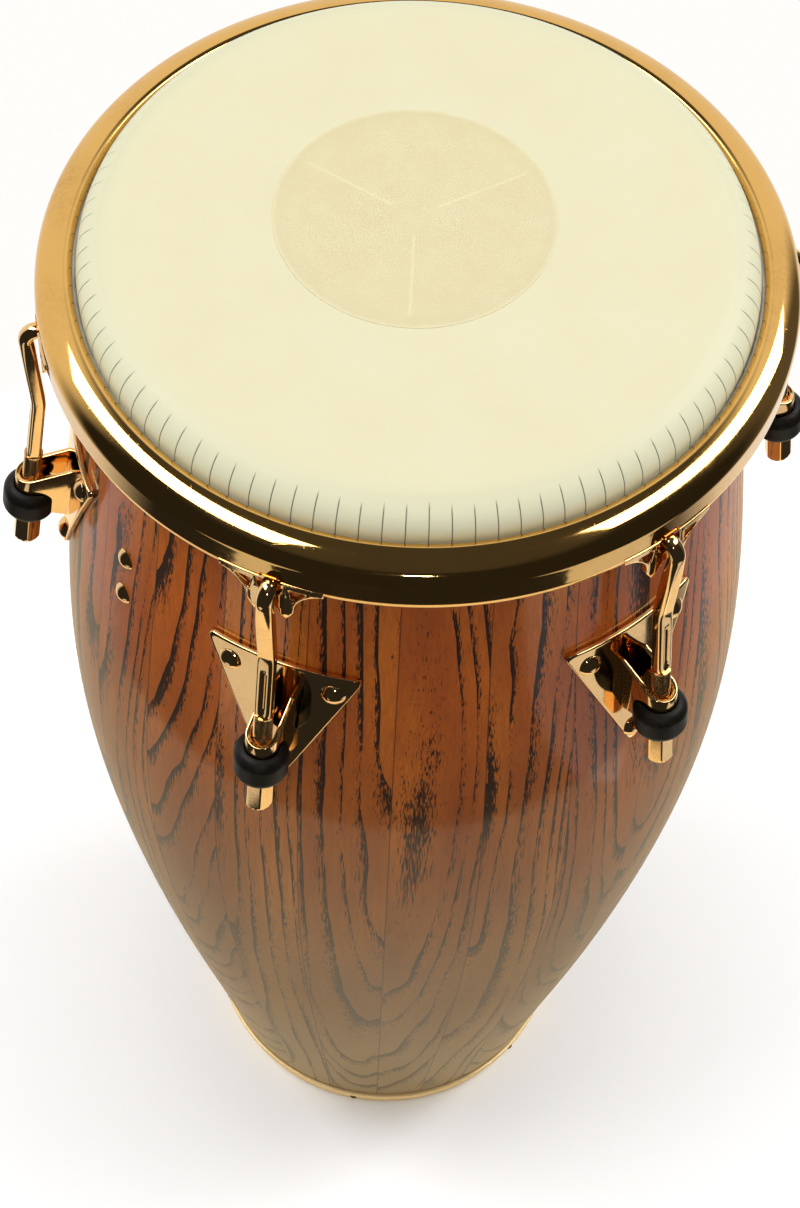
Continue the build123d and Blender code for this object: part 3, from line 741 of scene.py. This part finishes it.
# ---------------------------------------------------------------- rim
def rim_outline():
    """Closed section of the rolled rim: inner flange, broad sloping face, steep skirt, lip."""
    lip = (RIM_OUTER - 0.6, RIM_LIP)
    outer = [(RIM_INNER, RIM_UNDER), (RIM_INNER, 744.2)]
    outer += arc(outer[-1], (163.6, 746.0), (166.6, 746.5), 8)[1:]
    outer += arc(outer[-1], (171.9, 744.75), (176.4, 742.2), 16)[1:]
    outer += arc(outer[-1], (179.0, 739.2), (RIM_OUTER, 734.6), 12)[1:]
    outer += [(RIM_OUTER, 731.0), (RIM_OUTER, 727.5), (RIM_OUTER, 724.0)]
    outer += arc(outer[-1], (RIM_OUTER - 0.1, 722.0), lip, 6)[1:]
    outer += [(lip[0] - 0.5, lip[1] - 0.4), (lip[0] - RIM_SHEET + 0.5, lip[1] - 0.4)]
    in_equator = (RIM_OUTER - RIM_SHEET, RIM_EQUATOR)
    inner = [(RIM_OUTER - RIM_SHEET - 0.5, RIM_LIP)]
    inner += arc(inner[0], (176.8, 725.2), in_equator, 6)[1:]
    inner += arc(in_equator, (174.7, 739.6), (171.6, RIM_UNDER), 6)[1:]
    return outer + inner


def ear_outline_half():
    """Right half of the fishtail from the top middle round to the notch, (width, height)."""
    top, claw = RIM_LIP + 3.5, EAR_CLAW_BOTTOM
    half = [(0.0, top), (EAR_HALF_WIDTH, top), (EAR_HALF_WIDTH, RIM_LIP)]
    half += arc((EAR_HALF_WIDTH, RIM_LIP), (14.6, 713.5), (11.2, claw + 6.4), 12)[1:]
    half += [(10.2, claw + 4.0), (7.8, claw), (4.6, claw + 2.2)]
    half += arc((4.6, claw + 2.2), (2.4, 703.4), (0.0, claw + 9.0), 6)[1:]
    return half


def flat_sheet(outer, holes, thickness, bevel):
    """Mesh of a flat sheet with holes and softened edges, made by filling a 2D curve."""
    curve = bpy.data.curves.new("sheet_outline", "CURVE")
    curve.dimensions = "2D"
    curve.fill_mode = "BOTH"
    curve.extrude = (thickness / 2 - bevel) * MM
    curve.bevel_depth = bevel * MM
    curve.offset = -bevel * MM
    curve.bevel_resolution = 2
    for outline in [outer] + holes:
        spline = curve.splines.new("POLY")
        spline.points.add(len(outline) - 1)
        for point, (x, y) in zip(spline.points, outline):
            point.co = (x * MM, y * MM, 0.0, 1.0)
        spline.use_cyclic_u = True
    holder = bpy.data.objects.new("sheet_outline", curve)
    mesh = bpy.data.meshes.new_from_object(holder)
    bpy.data.objects.remove(holder)
    return mesh


def rounded_polygon(corners, radius, steps=5):
    """Closed outline with each corner rounded."""
    outline = []
    count = len(corners)
    for i in range(count):
        before, corner = Vector(corners[i - 1]), Vector(corners[i])
        after = Vector(corners[(i + 1) % count])
        to_before, to_after = (before - corner).normalized(), (after - corner).normalized()
        opening = to_before.angle(to_after)
        reach = radius / math.tan(opening / 2)
        start, end = corner + to_before * reach, corner + to_after * reach
        middle = corner + (to_before + to_after).normalized() * (radius / math.sin(opening / 2) - radius)
        outline += arc(start, middle, end, steps)
    return outline


def make_rim():
    """Rim as one ring, and its six ears, each with a hook hole between two triangles."""
    ring = lathe("rim_ring", rim_outline(), 320, 40.0)
    dress(ring, RIM_GOLD)
    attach(ring, "rim")
    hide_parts("rim")
    half = ear_outline_half()
    outer = half + [(-x, z) for x, z in reversed(half[1:-1])]
    hole = rounded_polygon([(-6.2, 713.6), (6.2, 713.6), (6.2, 724.6), (-6.2, 724.6)], 3.2)
    triangle = [(9.2, 719.6), (17.6, 719.6), (10.2, 709.4)]
    holes = [hole]
    for side in (1, -1):
        holes.append(rounded_polygon([(side * x, z) for x, z in triangle][::side], 0.8, 3))
    for i in range(1, LUG_COUNT + 1):
        mesh = flat_sheet(outer, holes, EAR_THICKNESS, 0.45)
        bend_ear(mesh, lug_frame(i)[0])
        ear = bpy.data.objects.new(f"rim_ear_{i}", mesh)
        bpy.context.scene.collection.objects.link(ear)
        dress(ear, GOLD)
        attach(ear, "rim")
        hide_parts("rim")


def bend_ear(mesh, azimuth):
    """Cut the flat ear into strips and lay it on its cylinder, turned to its lug."""
    work = bmesh.new()
    work.from_mesh(mesh)
    bmesh.ops.remove_doubles(work, verts=work.verts, dist=0.02 * MM)
    for step in range(-8, 9):
        geometry = work.verts[:] + work.edges[:] + work.faces[:]
        bmesh.ops.bisect_plane(work, geom=geometry, plane_co=(step * 3.0 * MM, 0, 0), plane_no=(1, 0, 0))
    middle = (EAR_INNER_RADIUS + EAR_THICKNESS / 2) * MM
    for vertex in work.verts:
        width, height, depth = vertex.co
        radius = middle + depth
        vertex.co = (math.sqrt(radius * radius - width * width), width, height)
    work.to_mesh(mesh)
    work.free()
    mesh.transform(Matrix.Rotation(azimuth, 4, "Z"))
    finish_mesh(mesh, 40.0)


# ---------------------------------------------------------------- hooks
def hook_path():
    """Centre line of the shank in lug space, from the tip inside the ear to the thread."""
    inner_leg = HOOK_MIDDLE - (HOOK_GAP + HOOK_THICKNESS) / 2
    outer_leg = HOOK_MIDDLE + (HOOK_GAP + HOOK_THICKNESS) / 2
    bend_top = HOOK_TOP - HOOK_THICKNESS / 2
    knee_s = (FOOT_HEIGHT - KNEE_HEIGHT) / math.cos(LEAN)
    knee, end = along_rod(knee_s), along_rod(-THREAD_START)
    corners = [(inner_leg, bend_top - 16.0), (inner_leg, bend_top), (outer_leg, bend_top),
               (knee[0], knee[2]), (end[0], end[2])]
    return rounded_path(corners, [6.3, 6.3, 45.0])


def make_hooks():
    """J-hooks: a swept shank with a domed tip, and the threaded rod below it."""
    path = hook_path()
    lengths = [0.0]
    for a, b in zip(path, path[1:]):
        lengths.append(lengths[-1] + (b - a).length)
    total = lengths[-1]
    rings = []
    for i, point in enumerate(path):
        ahead = (path[min(i + 1, len(path) - 1)] - path[max(i - 1, 0)]).normalized()
        outward = Vector((-ahead.y, ahead.x))
        rings.append(shank_ring(point, outward, lengths[i], total))
    tip = rings[0]
    centre = Vector(tip[0]).lerp(Vector(tip[len(tip) // 2]), 0.5)
    down = Vector((0, 0, -1))
    caps = []
    for scale, drop in ((0.45, 1.9), (0.8, 1.3), (0.95, 0.6)):
        caps.append([centre + (Vector(p) - centre) * scale + down * drop for p in tip])
    shank = loft(caps + rings)
    points, faces = joined([shank, threaded_rod()])
    place_on_lugs("hook_forged", points, faces, "hook_{}", "hook_{}", GOLD, 50.0)


def shank_ring(point, outward, length, total):
    """Section of the shank: round in the bend, flattened below it, slotted on its face."""
    bend_end = 38.0
    flat = smooth_step((length - bend_end + 10.0) / 24.0)
    near_thread = smooth_step((length - total + 3.0) / 3.0)
    half_width = 4.0 + 0.2 * flat - 0.1 * near_thread
    half_thick = 3.75 - 0.15 * flat
    power = 2.15 + 2.4 * flat * (1 - 0.6 * near_thread)
    ring = []
    for x, y in superellipse(half_width, half_thick, power, 48):
        from_thread = total - length
        in_slot = smooth_step((35.0 - from_thread) / 2.0) * smooth_step((from_thread - 3.0) / 2.0)
        if y > 0 and flat > 0.5:
            y -= 1.3 * in_slot * smooth_step((1.5 - abs(x)) / 0.5)
        ring.append((point.x + outward.x * y, x, point.y + outward.y * y))
    return ring


def smooth_step(t):
    t = min(1.0, max(0.0, t))
    return t * t * (3 - 2 * t)


def threaded_rod():
    """Rod with a rolled thread, from the shank's end down into the nut."""
    columns, per_turn = 40, 8
    top, bottom = -THREAD_START - 0.5, ROD_END
    rows = int((bottom - top) / THREAD_PITCH * per_turn)
    rings = []
    for i in range(rows + 1):
        s = top + (bottom - top) * i / rows
        run_in = smooth_step((s - top) / 3.0) * smooth_step((bottom - s) / 1.5)
        ring = []
        for j in range(columns):
            angle = 2 * math.pi * j / columns
            phase = (s / THREAD_PITCH + j / columns) % 1.0
            groove = THREAD_DEPTH * abs(2 * phase - 1) ** 1.3 * run_in
            end_taper = 1.0 * smooth_step((1.2 - (bottom - s)) / 1.2)
            radius = ROD_RADIUS - groove - end_taper
            ring.append(along_rod(s, radius * math.cos(angle), radius * math.sin(angle)))
        rings.append(ring)
    return loft(rings)


def make_nuts():
    """Hexagon nuts with a washer-faced top, a domed end and slightly rounded corners."""
    apothem, corner = NUT_FLATS / 2, NUT_FLATS / math.sqrt(3)
    dome = corner + 0.4
    dome_centre = NUT_LENGTH - dome
    stations = [0.0, 0.25, 0.6, 1.0, 2.0]
    stations += [2.0 + (dome_centre - 2.0) * i / 6 for i in range(1, 7)]
    stations += [dome_centre + dome * math.sin(math.pi / 2 * i / 14) for i in range(1, 15)]
    columns = 96
    rings = []
    for s in stations:
        limit = min(corner - 0.12, 6.6 + s * 1.1)
        if s > dome_centre:
            limit = min(limit, math.sqrt(max(0.04, dome * dome - (s - dome_centre) ** 2)))
        ring = []
        for j in range(columns):
            angle = 2 * math.pi * j / columns
            fold = (angle + math.pi / 6) % (math.pi / 3) - math.pi / 6
            radius = min(apothem / math.cos(fold), limit)
            ring.append(along_rod(s, radius * math.cos(angle), radius * math.sin(angle)))
        rings.append(ring)
    bore = ROD_RADIUS + NUT_CLEARANCE
    turns = [2 * math.pi * j / columns for j in range(columns)]
    mouth = []
    for depth in (8.0, 0.0):
        mouth.append([along_rod(depth, bore * math.cos(a), bore * math.sin(a)) for a in turns])
    points, faces = loft(mouth + rings)
    place_on_lugs("lug_nut_long", points, faces, "lug_nut_{}", "lug_nut_{}", GOLD, 24.0)


# ---------------------------------------------------------------- side plates and straps
PLATE_BASE = shell_radius(PLATE_MID_HEIGHT) + 0.5


def on_plate(width, height, out):
    """Point over the side plate's cone in lug space, out from its inner face."""
    radius = PLATE_BASE + (PLATE_MID_HEIGHT - height) * math.tan(PLATE_TILT) + out
    return (math.sqrt(radius * radius - width * width), width, height)


def make_side_plates():
    """Triangular plates with a rounded outer edge, bent to the shell."""
    corners = [(-PLATE_HALF_WIDTH, PLATE_TOP), (0.0, PLATE_BOTTOM), (PLATE_HALF_WIDTH, PLATE_TOP)]
    outline = spread(rounded_polygon(corners, 3.0, 6), 2.5)
    middle = Vector((0.0, (2 * PLATE_TOP + PLATE_BOTTOM) / 3))
    rings = []
    for scale in (0.12, 0.3, 0.5, 0.7, 0.88):
        rings.append([on_plate(*middle.lerp(p, scale), 0.0) for p in outline])
    edge = ((0.3, 0.0), (0.0, 0.3), (0.0, 2.3), (0.13, 2.68), (0.38, 2.92), (0.75, PLATE_THICKNESS))
    for inset, out in edge:
        rings.append([on_plate(*pulled_in(p, middle, inset), out) for p in outline])
    for scale in (0.94, 0.86, 0.76, 0.64, 0.5, 0.36, 0.22, 0.1):
        rings.append([on_plate(*middle.lerp(p, scale), PLATE_THICKNESS) for p in outline])
    points, faces = loft(rings)
    place_on_lugs("side_plate_pressed", points, faces, "shell", "side_plate_{}", GOLD, 50.0)


def pulled_in(point, middle, distance):
    """A point moved towards the middle by a distance."""
    to_middle = middle - point
    return point + to_middle.normalized() * distance


def spread(outline, step):
    """Closed outline with extra points, so that no side is longer than the step."""
    points = []
    for a, b in zip(outline, outline[1:] + outline[:1]):
        a, b = Vector(a), Vector(b)
        points.append(a)
        count = int((b - a).length / step)
        points += [a.lerp(b, i / (count + 1)) for i in range(1, count + 1)]
    return points


def strap_edges(out):
    """Heights s of the strap's top and bottom edges at a distance out from the rod."""
    share = (STRAP_INNER_HALF + STRAP_SHEET - out) / STRAP_REACH
    bottom = -WASHER_THICKNESS + max(0.0, share - 0.55) * 7.0
    top = -WASHER_THICKNESS - STRAP_NOSE_HEIGHT - share * (STRAP_WALL_HEIGHT - STRAP_NOSE_HEIGHT - 4.0)
    return top, bottom


def make_straps():
    """U-strap: a sheet standing on edge that runs out from the plate, round the rod and back."""
    middle_half = STRAP_INNER_HALF + STRAP_SHEET / 2
    back = -19.0
    run = [Vector((back * (1 - i / 10), -middle_half)) for i in range(10)]
    turn = [-math.pi / 2 + math.pi * i / 28 for i in range(29)]
    nose = [Vector((middle_half * math.cos(t), middle_half * math.sin(t))) for t in turn]
    path = run + nose + [Vector((p.x, -p.y)) for p in reversed(run)]
    half_sheet, corner = STRAP_SHEET / 2, 0.7
    rings = []
    for i, point in enumerate(path):
        ahead = (path[min(i + 1, len(path) - 1)] - path[max(i - 1, 0)]).normalized()
        across = Vector((ahead.y, -ahead.x))
        top, bottom = strap_edges(point.x)
        section = rounded_polygon(
            [(-half_sheet, bottom), (half_sheet, bottom), (half_sheet, top), (-half_sheet, top)], corner, 4)
        rings.append([along_rod(s, point.x + across.x * t, point.y + across.y * t) for t, s in section])
    points, faces = loft(rings)
    place_on_lugs("strap_bent", points, faces, "shell", "strap_{}", GOLD, 40.0)


def bolt_parts(origin, normal):
    """Dome-head bolt: a low dome with a small flat rim, on a shank."""
    helper = Vector((0, 0, 1)).cross(normal).normalized()
    other = normal.cross(helper)
    ball = (BOLT_HEAD_RADIUS ** 2 + BOLT_HEAD_HEIGHT ** 2) / (2 * BOLT_HEAD_HEIGHT)
    profile = [(BOLT_SHANK_RADIUS, -BOLT_LENGTH), (BOLT_SHANK_RADIUS, 0.0), (BOLT_HEAD_RADIUS, 0.0)]
    for i in range(12):
        r = BOLT_HEAD_RADIUS * math.cos(math.pi / 2 * i / 12)
        profile.append((r, BOLT_HEAD_HEIGHT - ball + math.sqrt(ball * ball - r * r) + 0.02))
    rings = []
    for r, out in profile:
        ring = []
        for j in range(36):
            a = 2 * math.pi * j / 36
            ring.append(origin + normal * out + helper * (r * math.cos(a)) + other * (r * math.sin(a)))
        rings.append(ring)
    return loft(rings)


def make_bolts():
    parts = []
    for i in range(1, LUG_COUNT + 1):
        turn = Matrix.Rotation(lug_frame(i)[0], 3, "Z")
        for width, height in BOLT_PLACES:
            radius = PLATE_BASE + (PLATE_MID_HEIGHT - height) * math.tan(PLATE_TILT) + PLATE_THICKNESS
            swing = width / radius
            origin = Vector((radius * math.cos(swing), radius * math.sin(swing), height))
            normal = Vector((math.cos(swing) * math.cos(PLATE_TILT), math.sin(swing) * math.cos(PLATE_TILT),
                             math.sin(PLATE_TILT)))
            parts.append(bolt_parts(turn @ origin, turn @ normal))
    points, faces = joined(parts)
    bolts = make_object("side_plate_bolts_domed", points, faces, 40.0)
    dress(bolts, GOLD)
    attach(bolts, "shell")
    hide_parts("side_plate_bolts")


# ---------------------------------------------------------------- CAD nodes kept as they are
def dress_cad_nodes():
    plain = {
        "bearing_edge_ring": BARE_WOOD,
        "bottom_band_nails": DARK_STEEL,
        "shell_screws": GOLD,
        "shell_screw_nuts": INNER_STEEL,
        "head_flesh_hoop": HOOP_METAL,
        "side_plate_bolt_nuts": INNER_STEEL,
    }
    for i in range(1, LUG_COUNT + 1):
        plain[f"backing_plate_{i}"] = INNER_STEEL
        plain[f"lug_washer_{i}"] = GOLD
        plain[f"bumper_{i}"] = RUBBER
    for name, material in plain.items():
        dress(nodes[name], material)
        nodes[name].data.shade_smooth()
        nodes[name].data.set_sharp_from_angle(angle=math.radians(35.0))


# ---------------------------------------------------------------- studio
def make_camera():
    data = bpy.data.cameras.new("camera")
    data.sensor_fit = "VERTICAL"
    data.sensor_height = SENSOR
    data.lens = CAMERA_LENS
    data.clip_end = 50.0
    camera = bpy.data.objects.new("camera", data)
    bpy.context.scene.collection.objects.link(camera)
    yaw, pitch, roll = (math.radians(a) for a in (CAMERA_YAW, CAMERA_PITCH, CAMERA_ROLL))
    forward = Vector((math.sin(yaw) * math.cos(pitch), math.cos(yaw) * math.cos(pitch), -math.sin(pitch)))
    right = Vector((math.cos(yaw), -math.sin(yaw), 0.0))
    up = right.cross(forward)
    right_rolled = right * math.cos(roll) + up * math.sin(roll)
    up_rolled = up * math.cos(roll) - right * math.sin(roll)
    matrix = Matrix((right_rolled, up_rolled, -forward)).transposed().to_4x4()
    matrix.translation = Vector(CAMERA_PLACE)
    camera.matrix_world = matrix
    bpy.context.scene.camera = camera


def area_light(name, place, target, size, power, along=(1.0, 0.0, 0.0)):
    """Soft box aimed at a target, its longer side as near as it can be to a direction."""
    data = bpy.data.lights.new(name, "AREA")
    data.shape = "RECTANGLE"
    data.size, data.size_y = size
    data.energy = power
    light = bpy.data.objects.new(name, data)
    bpy.context.scene.collection.objects.link(light)
    back = (Vector(place) - Vector(target)).normalized()
    side = Vector(along)
    side = (side - back * side.dot(back)).normalized()
    matrix = Matrix((side, back.cross(side), back)).transposed().to_4x4()
    matrix.translation = Vector(place)
    light.matrix_world = matrix
    light.visible_camera = False
    return light


def make_floor():
    """Round white floor. It ends near the drum, so the metal and lacquer show its edge, and
    reflections see it tan."""
    segments = 128
    points = [(0.0, 0.0, 0.0)]
    for i in range(segments):
        angle = 2 * math.pi * i / segments
        points.append((FLOOR_RADIUS / MM * math.cos(angle), FLOOR_RADIUS / MM * math.sin(angle), 0.0))
    floor = make_object("floor", points, [(0, i, i % segments + 1) for i in range(1, segments + 1)])
    g = Graph("pale_floor")
    paper = g.noise(g.place(), 9.0, detail=2.0)
    white = g.mix(paper, (0.95, 0.95, 0.95), (0.93, 0.93, 0.93))
    reflected = g.node("ShaderNodeLightPath", output=3)
    g.set(Base_Color=g.mix(reflected, white, (0.84, 0.74, 0.53)), Roughness=0.9)
    g.shader.inputs["Specular IOR Level"].default_value = 0.0
    dress(floor, g.material)


def make_world():
    """White to the camera. The metal and lacquer see white behind the drum, dark elsewhere."""
    world = bpy.data.worlds.new("studio")
    bpy.context.scene.world = world
    world.use_nodes = True
    tree = world.node_tree
    background = tree.nodes["Background"]

    def math_node(operation, a, b, c=0.0):
        made = tree.nodes.new("ShaderNodeMath")
        made.operation = operation
        for socket, value in zip(made.inputs, (a, b, c)):
            if isinstance(value, bpy.types.NodeSocket):
                tree.links.new(value, socket)
            else:
                socket.default_value = value
        return made.outputs[0]

    def fade(value, low, high):
        made = tree.nodes.new("ShaderNodeMapRange")
        made.interpolation_type = "SMOOTHSTEP"
        tree.links.new(value, made.inputs[0])
        made.inputs[1].default_value, made.inputs[2].default_value = low, high
        return made.outputs[0]

    split = tree.nodes.new("ShaderNodeSeparateXYZ")
    tree.links.new(tree.nodes.new("ShaderNodeTexCoord").outputs[0], split.inputs[0])
    behind = fade(split.outputs[1], -0.05, 0.30)
    overhead = fade(split.outputs[2], 0.74, 0.86)
    right = fade(split.outputs[0], 0.62, 0.78)
    wall = math_node("MULTIPLY", behind, math_node("SUBTRACT", 1.0, overhead))
    wall = math_node("MULTIPLY", wall, math_node("MULTIPLY_ADD", right, -0.9, 1.0))
    room = math_node("ADD", math_node("MULTIPLY", overhead, ROOM_TOP), ROOM_FRONT)
    seen_by_metal = math_node("MULTIPLY_ADD", wall, WALL, room)
    path = tree.nodes.new("ShaderNodeLightPath")
    camera, glossy = path.outputs["Is Camera Ray"], path.outputs["Is Glossy Ray"]
    strength = math_node("ADD", math_node("MULTIPLY", glossy, math_node("SUBTRACT", seen_by_metal, SKY)), SKY)
    strength = math_node("MULTIPLY_ADD", camera, 1.0 - SKY, strength)
    tree.links.new(strength, background.inputs["Strength"])
    background.inputs["Color"].default_value = (1.0, 0.985, 0.96, 1.0)


def make_lights():
    """Top light, a long soft box on each side for the rim's streaks, and two white cards low in
    front, which the side plates reflect."""
    rim = (0.0, 0.0, 0.74)
    top = area_light("top_soft", (0.0, 0.3, 7.0), rim, (4.0, 3.0), 146.0)
    top.visible_glossy = False
    area_light("left_soft", (-1.06, -0.03, 2.29), rim, (1.65, 0.58), 25.0, (0.49, -0.75, 0.44))
    area_light("right_soft", (1.22, 0.30, 2.05), rim, (1.60, 0.50), 22.0, (0.36, 0.75, -0.47))
    area_light("camera_soft", (0.12, -1.75, 2.05), rim, (0.22, 0.08), 3.0)
    area_light("left_card", (-0.52, -0.62, 0.01), (-0.52, -0.62, 1.0), (0.28, 0.36), 0.24)
    area_light("right_card", (0.64, -0.45, 0.01), (0.64, -0.45, 1.0), (0.36, 0.50), 0.44)


make_staves()
make_band()
make_skin()
make_patch()
make_rim()
make_hooks()
make_nuts()
make_side_plates()
make_straps()
make_bolts()
dress_cad_nodes()
make_camera()
make_floor()
make_world()
make_lights()
bpy.context.scene.view_settings.view_transform = "Standard"
